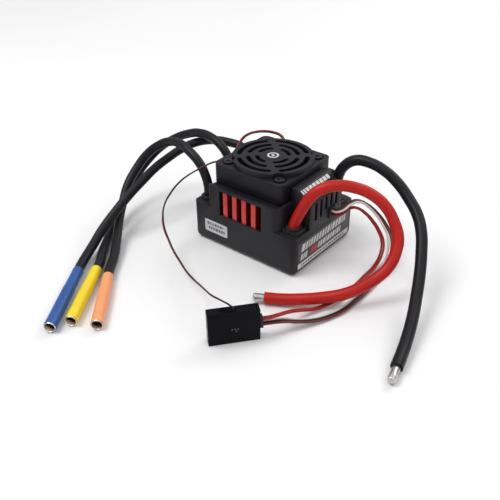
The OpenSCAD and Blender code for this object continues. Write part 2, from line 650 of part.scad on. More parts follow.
module battery_tip_black() color([0.78, 0.78, 0.8]) tip(route_battery_black, tip_black_l);
function fan_wire(s) = twisted(route_fan_lead, 0, s * fan_wire_d * 0.52, 45, -176, 5, 30);
module fan_lead_red() color([0.8, 0.1, 0.08]) wire(fan_wire(1), fan_wire_d);
module fan_lead_black() color([0.1, 0.1, 0.11]) wire(fan_wire(-1), fan_wire_d);
function power_wire(s) = to_relief(offset_route(route_power, s * wire_gap / 2), s * wire_gap / 2, power_z);
module control_wire_red_a() color([0.8, 0.1, 0.08]) wire(power_wire(1), wire_d);
module control_wire_red_b() color([0.75, 0.1, 0.08]) wire(power_wire(-1), wire_d);
// The outer two of the three cross each other once
function crossing_wire(s) = to_relief(
    twisted(route_signal, -wire_gap / 2, s * wire_gap / 2, 0, 180, 7, 12), -(1 + s) / 2 * wire_gap, signal_z);
module signal_wire_white() color([0.9, 0.9, 0.88])
    wire(to_relief(offset_route(route_signal, wire_gap), wire_gap, signal_z), wire_d);
module signal_wire_black() color([0.1, 0.1, 0.11]) wire(crossing_wire(-1), wire_d);
module signal_wire_brown() color([0.3, 0.16, 0.1]) wire(crossing_wire(1), wire_d);

// ---- Switch box: it stands on a long edge, local x along it, local y towards its rear ----
module block(x, y, z, l, t, h) translate([x, y, z]) cube([l, t, h]);
module switch_box_shell() color([0.1, 0.1, 0.11]) at_box() difference() {
    block(0, 0, 0, box_l, rear_y, box_h);
    block(box_wall, box_wall, box_wall, box_l - 2 * box_wall, box_t, box_h - 2 * box_wall);
    translate([lead_hole.x, lead_hole.y, box_h - 2 * box_wall]) cylinder(r = lead_hole_r, h = 3 * box_wall);
    translate([-1, 0, box_h - 0.5]) rotate([45, 0, 0]) cube([box_l + 2, 3, 3]);
}
module switch_box_cover() color([0.12, 0.12, 0.13]) at_box() difference() {
    union() {
        block(0, rear_y, 0, box_l, box_wall, box_h);
        block(box_wall + gap, rear_y - 1, box_wall + gap, 1, 1, box_h - 2 * box_wall - 2 * gap);
    }
    block(slider_x - clear - 0.2, rear_y - 1, slide_z - slider_h / 2 - clear,
        slider_w + switch_travel + 2 * clear + 0.4, 4, slider_h + 2 * clear);
    translate([tact_x, rear_y - 1, tact_z]) rotate([-90, 0, 0]) cylinder(r = button_r + clear, h = 4);
    translate([led_x, rear_y - 1, led_z]) rotate([-90, 0, 0]) cylinder(r = led_r, h = 4);
}
module switch_board() color([0.07, 0.25, 0.13]) at_box()
    block(box_wall, board_y, box_wall + 0.4, box_l - 2 * box_wall, switch_y - board_y,
        box_h - 2 * box_wall - 0.8);
module slide_switch_body() color([0.7, 0.7, 0.72]) at_box() difference() {
    block(slider_x - 1.6, switch_y, slide_z - slide_w / 2, slide_l, slide_h, slide_w);
    block(slider_x - clear, switch_y + slide_h - slot_d, slide_z - slider_h / 2 - clear,
        slider_w + switch_travel + 2 * clear, 3, slider_h + 2 * clear);
}
module switch_slider() color([0.92, 0.92, 0.9]) at_box()
    block(slider_x, slider_y, slide_z - slider_h / 2, slider_w, box_t + 1.1 - slider_y, slider_h);
module tact_switch_body() color([0.2, 0.2, 0.22]) at_box()
    block(tact_x - tact_w / 2, switch_y, tact_z - tact_w / 2, tact_w, tact_h, tact_w);
module set_button() color([0.85, 0.85, 0.83]) at_box()
    translate([tact_x, switch_y + tact_h + 2 * clear, tact_z]) rotate([-90, 0, 0])
        cylinder(r = button_r, h = 1.8);
module status_led() color([0.9, 0.25, 0.2]) at_box()
    translate([led_x, switch_y, led_z]) rotate([-90, 0, 0]) cylinder(r = led_r, h = box_t + 0.3 - switch_y);
module box_strain_relief() color([0.09, 0.09, 0.1]) at_box()
    block(box_l, (box_t - relief_w) / 2, relief_z, relief_l, relief_w, relief_h);

case_shell();
bottom_plate();
bottom_screws();
heat_sink();
thermal_pad();
power_board();
mosfet_bank();
power_posts();
control_board();
control_chip();
board_header();
input_capacitors();
fan_frame();
fan_impeller();
rotor_magnet();
fan_shaft();
fan_bearing();
fan_stator();
fan_cover();
fan_screws();
hub_badge();
side_label();
end_label();
hood_label();
battery_grommets();
motor_grommets();
control_grommet();
battery_cable_red();
battery_cable_black();
battery_tip_red();
battery_tip_black();
motor_cable_a();
motor_cable_b();
motor_cable_c();
bullet_socket_a();
bullet_socket_b();
bullet_socket_c();
motor_sleeve_a();
motor_sleeve_b();
motor_sleeve_c();
fan_lead_red();
fan_lead_black();
control_wire_red_a();
control_wire_red_b();
signal_wire_white();
signal_wire_black();
signal_wire_brown();
switch_box_shell();
switch_box_cover();
switch_board();
slide_switch_body();
switch_slider();
tact_switch_body();
set_button();
status_led();
box_strain_relief();
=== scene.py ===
"""Speed controller with a fan, its leads and its switch box: the looks."""
import json
import math
import random

import bmesh
import bpy
from mathutils import Matrix, Vector


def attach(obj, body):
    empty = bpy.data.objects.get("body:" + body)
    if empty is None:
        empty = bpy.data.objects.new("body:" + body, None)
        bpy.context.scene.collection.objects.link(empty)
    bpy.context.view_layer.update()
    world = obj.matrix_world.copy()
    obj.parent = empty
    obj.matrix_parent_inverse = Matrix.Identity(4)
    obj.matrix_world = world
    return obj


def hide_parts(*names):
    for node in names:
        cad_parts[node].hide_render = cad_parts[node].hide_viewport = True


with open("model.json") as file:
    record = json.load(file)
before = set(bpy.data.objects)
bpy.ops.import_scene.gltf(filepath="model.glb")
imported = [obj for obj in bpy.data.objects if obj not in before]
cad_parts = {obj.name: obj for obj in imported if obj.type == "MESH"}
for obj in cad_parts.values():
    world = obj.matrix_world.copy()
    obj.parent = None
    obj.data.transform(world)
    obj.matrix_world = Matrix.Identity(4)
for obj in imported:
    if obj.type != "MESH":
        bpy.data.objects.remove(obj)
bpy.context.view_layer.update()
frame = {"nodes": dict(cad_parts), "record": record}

MM = 0.001
scene = bpy.context.scene
nodes = frame["nodes"]


# ---- Camera: the photograph's angle ----
CAMERA_AZ, CAMERA_EL, CAMERA_ROLL = 39.316, 33.775, -0.546  # degrees
CAMERA_AT = Vector((164.492, -218.907, 173.504))  # mm
LENS, SENSOR = 47.563, 36  # mm
CLIP = (0.01, 5)  # m


def make_camera():
    az, el, roll = (math.radians(a) for a in (CAMERA_AZ, CAMERA_EL, CAMERA_ROLL))
    back = Vector((math.sin(az) * math.cos(el), -math.cos(az) * math.cos(el), math.sin(el)))
    level = (-back).cross(Vector((0, 0, 1))).normalized()
    rise = level.cross(-back)
    right = level * math.cos(roll) + rise * math.sin(roll)
    up = rise * math.cos(roll) - level * math.sin(roll)
    data = bpy.data.cameras.new("camera")
    data.sensor_width = SENSOR
    data.lens = LENS
    data.clip_start, data.clip_end = CLIP
    cam = bpy.data.objects.new("camera", data)
    scene.collection.objects.link(cam)
    turn = Matrix((right, up, back)).transposed().to_4x4()
    cam.matrix_world = Matrix.Translation(CAMERA_AT * MM) @ turn
    scene.camera = cam


make_camera()

# ---- Routes of the leads, in millimetres, as in the CAD source ----
MOTOR_A = [(-25.5, -17.5, 12), (-25.5, -17.5, 20), (-25.5, -17.5, 25), (-27, -17.5, 30.5),
           (-31, -17, 35.5), (-38, -16, 39), (-46, -14, 40), (-54, -13, 38.5), (-61, -14.5, 35),
           (-66, -18, 30), (-68, -24, 24), (-67, -31.5, 18.5), (-63.5, -39, 12.5), (-58, -47, 8),
           (-51, -55, 5), (-43, -64, 3), (-36, -73, 2.8)]
MOTOR_B = [(-25.5, 0, 12), (-25.5, 0, 20), (-25.5, 0, 26), (-28, 0.5, 32), (-33, 1.5, 36.5),
           (-41, 3, 38.5), (-50, 4.5, 38), (-59, 5, 35), (-67, 3, 31), (-72.5, -2, 26.5),
           (-75, -9, 21.5), (-75, -18, 16), (-73, -27, 11), (-68.5, -37, 7), (-63, -47, 4),
           (-56, -57, 2.8), (-50, -65, 2.8), (-43.5, -72.5, 2.8)]
MOTOR_C = [(-25.5, 17.5, 12), (-25.5, 17.5, 20), (-26, 17.5, 24.5), (-28.5, 17, 28.5),
           (-33, 16.5, 31), (-39.5, 15, 32), (-47, 11.5, 32.5), (-54, 5.5, 31.5), (-57.5, -2, 29.5),
           (-58, -11, 28), (-58, -20.5, 26), (-57.5, -30, 23), (-57.5, -39.5, 19), (-57.5, -49, 14),
           (-57, -58, 9), (-54.5, -67, 5), (-49.5, -78, 2.8)]
BATTERY_RED = [(24, -17, 12), (24, -17, 18), (24, -17, 22), (25.4, -16.6, 26.5),
               (27.5, -15.9, 31.5), (29.7, -14.9, 36.3), (32.7, -12.4, 40.3), (38, -8, 42.5),
               (45, -3.5, 42), (52, -0.5, 39.5), (58, 0.5, 35.5), (62.5, 0, 30.5), (66.5, -2.5, 25.5),
               (68, -6, 21), (68, -10, 16.5), (66, -15, 12.5), (62.5, -21, 9.5), (58, -27, 7),
               (51.5, -32, 5), (43.5, -37.5, 3.5), (36, -42, 2.6), (30, -45.5, 2.6)]
BATTERY_BLACK = [(24, 17, 12), (24, 17, 21), (24, 17, 28), (24.5, 17, 33.5), (26.5, 18, 38),
                 (31, 19.5, 41.5), (37.5, 20.5, 42), (45, 21, 40.2), (52.5, 20.5, 36.5),
                 (59.5, 18.5, 32), (66, 15, 27.8), (71.2, 9.5, 23.6), (75.2, 3, 19), (79, -4.5, 14.5),
                 (83, -14, 10), (87, -24.5, 6.5), (90.5, -36, 3.8), (93.5, -48, 2.6)]
FAN_LEAD = [(-8, 17.5, 36), (-8, 18.9, 36.2), (-8.5, 20.3, 37.7), (-9.5, 20.5, 39.5),
            (-11.5, 20.5, 41.5), (-15.5, 19.5, 42.5), (-19, 17, 43), (-21, 13, 43.5),
            (-21.5, 8, 44), (-21.5, 3.5, 43.3), (-21.5, 0.5, 41), (-21.5, -2.5, 38.6),
            (-21.5, -6.5, 37.4), (-21.5, -11.5, 37.5), (-22.1, -17.4, 38.7), (-23.5, -24.5, 38),
            (-26, -29, 36), (-29, -33, 32.5), (-31, -37, 28), (-32, -40.5, 23), (-31, -43, 18),
            (-28.5, -45, 14), (-24, -47, 10.5), (-19, -49.5, 8.5), (-12, -52.5, 7), (-4, -56.5, 7),
            (4, -60, 8), (10, -63.5, 10.8), (17, -67.5, 13.8), (24, -70.9, 16.2),
            (30.4, -71.6, 16.9), (33.4, -71.3, 16.4), (34.9, -70.9, 15.2), (35.05, -70.8, 13.8)]
SIGNAL = [(30, 5, 22), (31.5, 5, 22), (33.3, 7, 22.6), (34.5, 11.5, 24), (36.5, 16, 24),
          (40, 19, 21.5), (44, 20.5, 18), (48.5, 20, 14.5), (53, 18, 11), (56.5, 13, 7.5),
          (58.5, 6, 4), (59, -2, 1.5), (59.5, -12, 1), (59.5, -21, 1), (59, -29.5, 1),
          (57, -36.5, 1), (54, -43, 1.5), (50.5, -49, 3), (46.7, -54.8, 5)]
POWER = [(30, 5, 20), (31.5, 5, 20), (33.3, 7.2, 20.3), (34.5, 11.5, 21.5), (36, 15.5, 20.5),
         (39, 18, 18), (43, 18.5, 15), (47.5, 17.5, 11.5), (51, 15.5, 8), (53, 11.5, 4.5),
         (54, 5, 2), (54, -4.5, 1), (54.5, -15, 1.2), (54, -24, 1.5), (52.5, -31, 1.5),
         (50, -37.5, 1.6), (47, -44, 3.5), (46, -50, 6), (45.6, -55.5, 8)]
SLEEVES = {"a": ((-33.2, -76.2, 2.8), (-11.5, -100.8, 2.8)),
           "b": ((-41.2, -76, 2.8), (-21.6, -105.7, 2.8)),
           "c": ((-47, -81.6, 2.8), (-25, -113.5, 2.8))}
NECK_SHARE = 0.36  # how far up its sleeve a motor cable reaches
RIM = 0.5  # how far a socket stands out of its sleeve
FAN_TWIST = (45, -176, 5, 30)  # start and turn in degrees, first and last route point
SIGNAL_TWIST = (0, 180, 7, 12)
TWIST_GAP = 1.04  # distance between two twisted wires, in wire widths
SIGNAL_Z, POWER_Z = 6.2, 8.5  # height of each bundle at the strain relief
MOTOR_D, BATTERY_D, WIRE_D, FAN_WIRE_D = 4.4, 5.0, 1.0, 0.7
WIRE_GAP = WIRE_D * 1.05
BOX_TURN = math.radians(50.56)
BOX_AT = Vector((29.9, -80.5, 0))
BOX_L, BOX_T = 20.6, 4.6
ALONG = Vector((math.cos(BOX_TURN), math.sin(BOX_TURN), 0))
REARWARD = Vector((-math.sin(BOX_TURN), math.cos(BOX_TURN), 0))
RELIEF = BOX_AT + ALONG * (BOX_L + 1.4) + REARWARD * (BOX_T / 2)


def frames(route):
    """Each point with its heading and the level direction beside it."""
    pts = [Vector(p) for p in route]
    for i, p in enumerate(pts):
        heading = (pts[min(i + 1, len(pts) - 1)] - pts[max(i - 1, 0)]).normalized()
        yield i, p, heading, heading.cross(Vector((0, 0, 1))).normalized()


def offset_route(route, side):
    return [p + beside * side for _, p, _, beside in frames(route)]


def twisted(route, mid, r, start, turn, i0, i1):
    """One of two wires that turn round each other, r from their middle line."""
    out = []
    for i, p, heading, beside in frames(route):
        t = math.radians(start + turn * min(max((i - i0) / (i1 - i0), 0), 1))
        out.append(p + beside * (mid + r * math.cos(t)) + beside.cross(heading) * (r * math.sin(t)))
    return out


def into_sleeve(route, key):
    start, end = (Vector(p) for p in SLEEVES[key])
    u = (end - start).normalized()
    return [Vector(p) for p in route] + [
        start + u * t for t in (-1, 0, NECK_SHARE * (end - start).length)]


def to_relief(pts, side, height):
    return pts + [RELIEF + ALONG * out + REARWARD * side + Vector((0, 0, height)) for out in (2.5, 0)]


# ---- Node materials ----
class Nodes:
    """A material's node tree, with one call per kind of node."""

    def __init__(self, name):
        self.mat = bpy.data.materials.new(name)
        self.mat.use_nodes = True
        self.tree = self.mat.node_tree
        self.tree.nodes.clear()
        self.shader = self.tree.nodes.new("ShaderNodeBsdfPrincipled")
        out = self.tree.nodes.new("ShaderNodeOutputMaterial")
        self.tree.links.new(self.shader.outputs[0], out.inputs[0])
        self.place = self.tree.nodes.new("ShaderNodeTexCoord").outputs["Object"]

    def link(self, a, b):
        self.tree.links.new(a, b)

    def scaled(self, scale):
        n = self.tree.nodes.new("ShaderNodeMapping")
        n.inputs["Scale"].default_value = scale
        self.link(self.place, n.inputs[0])
        return n.outputs[0]

    def noise(self, scale, detail=2.0, place=None, rough=0.5):
        n = self.tree.nodes.new("ShaderNodeTexNoise")
        n.inputs["Scale"].default_value = scale
        n.inputs["Detail"].default_value = detail
        n.inputs["Roughness"].default_value = rough
        self.link(place or self.place, n.inputs["Vector"])
        return n.outputs["Fac"]

    def ramp(self, value, stops):
        """From one colour to another; stops are two (position, colour) pairs."""
        n = self.tree.nodes.new("ShaderNodeValToRGB")
        for e, (at, colour) in zip(n.color_ramp.elements, stops):
            e.position, e.color = at, (*colour, 1)
        self.link(value, n.inputs[0])
        return n.outputs["Color"]

    def span(self, value, low, high):
        n = self.tree.nodes.new("ShaderNodeMapRange")
        n.inputs["To Min"].default_value = low
        n.inputs["To Max"].default_value = high
        self.link(value, n.inputs["Value"])
        return n.outputs[0]

    def maths(self, kind, a, b):
        n = self.tree.nodes.new("ShaderNodeMath")
        n.operation = kind
        for i, v in enumerate((a, b)):
            if isinstance(v, (int, float)):
                n.inputs[i].default_value = v
            else:
                self.link(v, n.inputs[i])
        return n.outputs[0]

    def bump(self, height, strength, depth):
        n = self.tree.nodes.new("ShaderNodeBump")
        n.inputs["Strength"].default_value = strength
        n.inputs["Distance"].default_value = depth
        self.link(height, n.inputs["Height"])
        return n.outputs[0]

    def set(self, **values):
        names = {"metal": "Metallic", "coat": "Coat Weight", "sheen": "Sheen Weight",
                 "sheen_rough": "Sheen Roughness", "specular": "Specular IOR Level"}
        for k, v in values.items():
            self.shader.inputs[names[k]].default_value = v


MOTTLE = 90.0


def surface(name, dark, light, rough, grain, depth, **values):
    """Colour that varies from dark to light in soft patches, fine grain in bump and roughness."""
    m = Nodes(name)
    patch = m.noise(MOTTLE, 4)
    m.link(m.ramp(patch, [(0.35, dark), (0.65, light)]), m.shader.inputs["Base Color"])
    fine = m.noise(grain, 3, rough=0.6)
    m.link(m.span(m.maths("MULTIPLY", m.maths("ADD", fine, patch), 0.5), rough[0], rough[1]),
           m.shader.inputs["Roughness"])
    m.link(m.bump(fine, 0.6, depth), m.shader.inputs["Normal"])
    m.set(**values)
    return m.mat


def tone(colour, k):
    return tuple(c * k for c in colour)


def plain_tone(name, colour, rough, grain, depth, vary=0.16, **values):
    return surface(name, tone(colour, 1 - vary), tone(colour, 1 + vary), rough, grain, depth, **values)


def painted_side_shade(name, ends, sides, rough, grain, depth):
    """Anodised red bar stock in the end colour, with painted shade: its sides, the faces turned along X,
    take the dark side colour.
    """
    m = Nodes(name)
    split = m.tree.nodes.new("ShaderNodeSeparateXYZ")
    m.link(m.tree.nodes.new("ShaderNodeTexCoord").outputs["Normal"], split.inputs[0])
    # painted shade mask: how far a face turns along X, where the fins' sides stand in shade
    side_shade_mask = m.maths("ABSOLUTE", split.outputs["X"], 0)
    patch = m.noise(200, 4)
    brush = m.noise(grain, 3, m.scaled((1, 1, 14)), 0.6)
    mix = m.tree.nodes.new("ShaderNodeMix")
    mix.data_type = "RGBA"
    m.link(m.maths("MULTIPLY", side_shade_mask, m.span(patch, 0.8, 1.1)), mix.inputs[0])
    m.link(m.ramp(patch, [(0.3, tone(ends, 0.85)), (0.7, tone(ends, 1.1))]), mix.inputs["A"])
    m.link(m.ramp(patch, [(0.3, tone(sides, 0.7)), (0.7, tone(sides, 1.3))]), mix.inputs["B"])
    m.link(mix.outputs["Result"], m.shader.inputs["Base Color"])
    m.link(m.span(brush, rough[0], rough[1]), m.shader.inputs["Roughness"])
    m.link(m.bump(brush, 0.6, depth), m.shader.inputs["Normal"])
    m.set(metal=0.35)
    return m.mat


MATS = {
    "case_plastic": plain_tone("case_plastic", (0.0095, 0.0092, 0.0122), (0.36, 0.52), 2600, 0.00006,
                               specular=0.3),
    "cover_plastic": plain_tone("cover_plastic", (0.0078, 0.0075, 0.0105), (0.34, 0.5), 3000, 0.00005,
                                specular=0.26),
    # rounded-edge material: its lighter colour is painted highlight, its lower roughness a glossier finish
    "case_edge_highlight": plain_tone("case_edge_highlight", (0.028, 0.027, 0.031), (0.24, 0.34), 2600, 0.00003, specular=0.55),
    # box rounded-edge material: its lighter colour is painted highlight, its low roughness a glossy finish
    "box_edge_highlight": plain_tone("box_edge_highlight", (0.03, 0.03, 0.034), (0.1, 0.18), 2600, 0.00001, specular=0.9),
    # the second colour is painted shade on the fins' sides
    "anodised_red": painted_side_shade("anodised_red", (0.66, 0.05, 0.045), (0.1, 0.008, 0.008), (0.32, 0.46), 900,
                          0.00003),
    "thermal_grey": plain_tone("thermal_grey", (0.2, 0.24, 0.3), (0.7, 0.9), 1500, 0.00005),
    "board_green": plain_tone("board_green", (0.012, 0.07, 0.03), (0.25, 0.4), 1200, 0.00002, coat=0.4),
    "chip_black": plain_tone("chip_black", (0.014, 0.014, 0.016), (0.5, 0.7), 3000, 0.00003),
    "copper": plain_tone("copper", (0.75, 0.36, 0.2), (0.25, 0.4), 1800, 0.00002, metal=1.0),
    "capacitor_sleeve": plain_tone("capacitor_sleeve", (0.02, 0.022, 0.045), (0.12, 0.25), 900, 0.00002,
                                   coat=0.5),
    "fan_plastic": plain_tone("fan_plastic", (0.009, 0.009, 0.011), (0.3, 0.45), 2400, 0.00003),
    "magnet_grey": plain_tone("magnet_grey", (0.1, 0.1, 0.11), (0.4, 0.6), 2000, 0.00003, metal=0.6),
    "steel": surface("steel", (0.5, 0.5, 0.52), (0.62, 0.62, 0.64), (0.2, 0.34), 1800, 0.00002,
                     metal=1.0),
    "sintered_bronze": plain_tone("sintered_bronze", (0.5, 0.36, 0.18), (0.4, 0.55), 3000, 0.00003,
                                  metal=1.0),
    "black_screw": plain_tone("black_screw", (0.035, 0.035, 0.04), (0.25, 0.4), 2000, 0.00002, metal=0.8),
    "label_white": plain_tone("label_white", (0.55, 0.55, 0.57), (0.32, 0.45), 1500, 0.00001, vary=0.04),
    "label_dark": plain_tone("label_dark", (0.018, 0.018, 0.022), (0.25, 0.38), 1500, 0.00001),
    "print_white": plain_tone("print_white", (0.62, 0.62, 0.63), (0.4, 0.55), 1700, 0.00001, vary=0.06),
    "print_grey": plain_tone("print_grey", (0.08, 0.08, 0.09), (0.4, 0.55), 1700, 0.00001, vary=0.1),
    "print_red": plain_tone("print_red", (0.6, 0.03, 0.03), (0.4, 0.55), 1700, 0.00001, vary=0.08),
    "grommet_rubber": plain_tone("grommet_rubber", (0.009, 0.009, 0.01), (0.55, 0.72), 2600, 0.00004,
                                 sheen=0.1, sheen_rough=0.5, specular=0.35),
    "silicone_red": plain_tone("silicone_red", (0.42, 0.0085, 0.004), (0.34, 0.46), 2200, 0.00003,
                               vary=0.08, specular=0.25),
    "silicone_black": plain_tone("silicone_black", (0.0058, 0.0055, 0.0078), (0.36, 0.5), 2200, 0.00004,
                                 specular=0.24),
    "wire_red": plain_tone("wire_red", (0.33, 0.007, 0.004), (0.28, 0.4), 2600, 0.00002, vary=0.1,
                           specular=0.4),
    "wire_black": plain_tone("wire_black", (0.008, 0.008, 0.01), (0.32, 0.45), 2600, 0.00002,
                             specular=0.4),
    "wire_white": plain_tone("wire_white", (0.6, 0.58, 0.55), (0.32, 0.45), 2600, 0.00002, vary=0.05),
    "wire_brown": plain_tone("wire_brown", (0.14, 0.012, 0.008), (0.28, 0.4), 2600, 0.00002,
                             specular=0.4),
    "tinned": surface("tinned", (0.42, 0.42, 0.42), (0.75, 0.74, 0.7), (0.18, 0.4), 1500, 0.00008,
                      metal=1.0),
    "gold_plate": plain_tone("gold_plate", (0.72, 0.66, 0.6), (0.16, 0.3), 1500, 0.00001, metal=1.0),
    "socket_bore": plain_tone("socket_bore", (0.1, 0.022, 0.012), (0.35, 0.5), 1500, 0.00003, metal=0.7),
    "sleeve_orange": plain_tone("sleeve_orange", (0.84, 0.32, 0.13), (0.34, 0.46), 1100, 0.00008,
                                vary=0.05, specular=0.4),
    "sleeve_yellow": plain_tone("sleeve_yellow", (0.78, 0.6, 0.006), (0.34, 0.46), 1100, 0.00008,
                                vary=0.05, specular=0.4),
    "sleeve_blue": plain_tone("sleeve_blue", (0.013, 0.078, 0.3), (0.34, 0.46), 1100, 0.00008,
                              vary=0.1, specular=0.4),
    "box_black": plain_tone("box_black", (0.0028, 0.0028, 0.0042), (0.22, 0.34), 1400, 0.00002,
                            specular=0.07),
    "led_red": plain_tone("led_red", (0.7, 0.03, 0.02), (0.08, 0.15), 900, 0.00001, coat=0.8),
    "button_white": plain_tone("button_white", (0.68, 0.67, 0.62), (0.35, 0.5), 1800, 0.00002,
                               vary=0.05),
}
SLOT = {s["node"]: s["material_slot"] for s in frame["record"]["subparts"]}


def paint(obj, slot):
    obj.data.materials.clear()
    obj.data.materials.append(MATS[slot])


def finish_piece(obj, slot, body="controller", stands_for=()):
    paint(obj, slot)
    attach(obj, body)
    if stands_for:
        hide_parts(*stands_for)
    return obj


def new_object(name, data):
    obj = bpy.data.objects.new(name, data)
    scene.collection.objects.link(obj)
    return obj


def mesh_object(name, bm, smooth_under=35):
    bmesh.ops.recalc_face_normals(bm, faces=bm.faces)
    data = bpy.data.meshes.new(name)
    bm.to_mesh(data)
    bm.free()
    for p in data.polygons:
        p.use_smooth = True
    data.set_sharp_from_angle(angle=math.radians(smooth_under))
    return new_object(name, data)


def lead(name, pts, diameter, slot):
    """A cable: a smooth curve through the route's points."""
    curve = bpy.data.curves.new(name, "CURVE")
    curve.dimensions = "3D"
    curve.bevel_depth = diameter * MM / 2
    curve.bevel_resolution = 5
    curve.resolution_u = 8
    curve.use_fill_caps = True
    line = curve.splines.new("BEZIER")
    line.bezier_points.add(len(pts) - 1)
    for b, p in zip(line.bezier_points, pts):
        b.co = Vector(p) * MM
        b.handle_left_type = b.handle_right_type = "AUTO"
    obj = new_object(name + "_lead", curve)
    finish_piece(obj, slot, stands_for=(name,))
    bpy.context.view_layer.update()
    length = sum(seg_length(line))


def seg_length(line):
    pts = line.bezier_points
    for a, b in zip(pts, pts[1:]):
        steps = [interpolate(a, b, k / 12) for k in range(13)]
        yield sum((q - p).length for p, q in zip(steps, steps[1:]))


def interpolate(a, b, t):
    s = 1 - t
    return (a.co * s ** 3 + a.handle_right * 3 * s * s * t + b.handle_left * 3 * s * t * t
            + b.co * t ** 3)


def make_leads():
    for key, route in (("a", MOTOR_A), ("b", MOTOR_B), ("c", MOTOR_C)):
        lead("motor_cable_" + key, into_sleeve(route, key), MOTOR_D, "silicone_black")
    lead("battery_cable_red", BATTERY_RED, BATTERY_D, "silicone_red")
    lead("battery_cable_black", BATTERY_BLACK, BATTERY_D, "silicone_black")
    for name, side, slot in (("fan_lead_red", 1, "wire_red"), ("fan_lead_black", -1, "wire_black")):
        pts = twisted(FAN_LEAD, 0, side * FAN_WIRE_D * TWIST_GAP / 2, *FAN_TWIST)
        lead(name, pts, FAN_WIRE_D, slot)
    white = to_relief(offset_route(SIGNAL, WIRE_GAP), WIRE_GAP, SIGNAL_Z)
    lead("signal_wire_white", white, WIRE_D, "wire_white")
    for name, s, slot in (("signal_wire_black", -1, "wire_black"), ("signal_wire_brown", 1, "wire_brown")):
        pts = twisted(SIGNAL, -WIRE_GAP / 2, s * WIRE_GAP / 2, *SIGNAL_TWIST)
        lead(name, to_relief(pts, -(1 + s) / 2 * WIRE_GAP, SIGNAL_Z), WIRE_D, slot)
    for name, s in (("control_wire_red_a", 1), ("control_wire_red_b", -1)):
        side = s * WIRE_GAP / 2
        lead(name, to_relief(offset_route(POWER, side), side, POWER_Z), WIRE_D, "wire_red")


# ---- Pieces that stand for CAD nodes ----
WELD = 2e-6  # m
FLAT_UNDER, SHARP_OVER = 0.6, 33  # degrees


def soften(name, width, body="controller", steps=2, edge=None):
    """The node's own shape with its hard edges rounded, as a moulding or a machined part has them."""
    bm = bmesh.new()
    bm.from_mesh(nodes[name].data)
    bmesh.ops.remove_doubles(bm, verts=bm.verts, dist=WELD)
    bmesh.ops.dissolve_limit(bm, angle_limit=math.radians(FLAT_UNDER), verts=bm.verts, edges=bm.edges)
    sharp = [e for e in bm.edges
             if len(e.link_faces) == 2 and e.calc_face_angle(0) > math.radians(SHARP_OVER)]
    bmesh.ops.bevel(bm, geom=sharp, offset=width * MM, offset_type="OFFSET", segments=steps,
                    profile=0.5, affect="EDGES", clamp_overlap=True, material=1 if edge else -1)
    obj = mesh_object(name + "_skin", bm, 40)
    finish_piece(obj, SLOT[name], body, (name,))
    # the bevel faces take the edge material: painted highlight along the rounded edges
    if edge:
        obj.data.materials.append(MATS[edge])


def frame_along(a, b):
    """A matrix that puts +Z along a to b, standing at a."""
    turn = (Vector(b) - Vector(a)).to_track_quat("Z", "Y").to_matrix().to_4x4()
    return Matrix.Translation(Vector(a) * MM) @ turn


def lathe(bm, profile, steps=48, wobble=None, material=None, closed=False):
    """Rings of (r, z) in mm round +Z; wobble(angle, z) scales the radius."""
    rings = []
    for r, z in profile:
        ring = []
        for k in range(steps):
            a = 2 * math.pi * k / steps
            w = wobble(a, z) if wobble else 1
            ring.append(bm.verts.new((r * w * math.cos(a) * MM, r * w * math.sin(a) * MM, z * MM)))
        rings.append(ring)
    if closed:
        rings.append(rings[0])
    for i, (p, q) in enumerate(zip(rings, rings[1:])):
        for k in range(steps):
            n = (k + 1) % steps
            face = bm.faces.new((p[k], p[n], q[n], q[k]))
            if material:
                face.material_index = material(i)
    return rings


def cap(bm, ring):
    bm.faces.new(ring)


def make_sleeve(key):
    start, end = SLEEVES[key]
    reach = (Vector(end) - Vector(start)).length
    neck = NECK_SHARE * reach
    rng = random.Random("sleeve" + key)
    waves = [(rng.uniform(0.2, 0.9), rng.uniform(0, 6.28), rng.choice((1, 2, 3))) for _ in range(5)]

    def wobble(a, z):
        return 1 + 0.006 * sum(math.sin(f * z + p) * math.cos(n * a + p) for f, p, n in waves)

    r0, r1, inner, cable = 2.42, 2.62, 2.42, 2.22
    profile = [(cable, 0), (cable + 0.12, -0.02), (r0, 0.2)]
    steps = 10
    profile += [(r0 + 0.03 * math.sin(k * 1.7), 0.2 + (neck - 2.4) * k / steps) for k in range(1, steps)]
    profile += [(r0 + (r1 - r0) * (0.5 - 0.5 * math.cos(math.pi * k / 6)), neck - 1.9 + 2.4 * k / 6)
                for k in range(7)]
    profile += [(r1 - 0.02 * (k % 3 == 1), neck + 0.5 + (reach - neck - 0.9) * k / 12) for k in range(1, 13)]
    profile += [(r1 - 0.03, reach - 0.12), (r1 - 0.1, reach), (inner, reach), (inner, neck + 0.02),
                (cable, neck)]
    bm = bmesh.new()
    lathe(bm, profile, 56, wobble, closed=True)
    obj = mesh_object("motor_sleeve_%s_skin" % key, bm, 50)
    obj.matrix_world = frame_along(start, end)
    name = "motor_sleeve_" + key
    finish_piece(obj, SLOT[name], stands_for=(name,))


def make_socket(key):
    start, end = SLEEVES[key]
    reach = (Vector(end) - Vector(start)).length
    neck, top, r, bore, depth = NECK_SHARE * reach, reach + RIM, 2.38, 2.0, 15.0
    profile = [(0.02, neck), (r, neck), (r, top - 0.12), (r - 0.1, top), (bore + 0.17, top),
               (bore, top - 0.3), (bore, top - 3), (bore - 0.08, top - 3.2), (bore - 0.08, top - 4),
               (bore, top - 4.2), (bore, top - depth + 0.6), (bore - 0.5, top - depth), (0.02, top - depth)]
    bm = bmesh.new()
    rings = lathe(bm, profile, 48, material=lambda i: 1 if i >= 4 else 0)
    cap(bm, rings[0])
    cap(bm, list(reversed(rings[-1])))
    obj = mesh_object("bullet_socket_%s_skin" % key, bm, 40)
    obj.matrix_world = frame_along(start, end)
    name = "bullet_socket_" + key
    finish_piece(obj, SLOT[name], stands_for=(name,))
    obj.data.materials.append(MATS["socket_bore"])


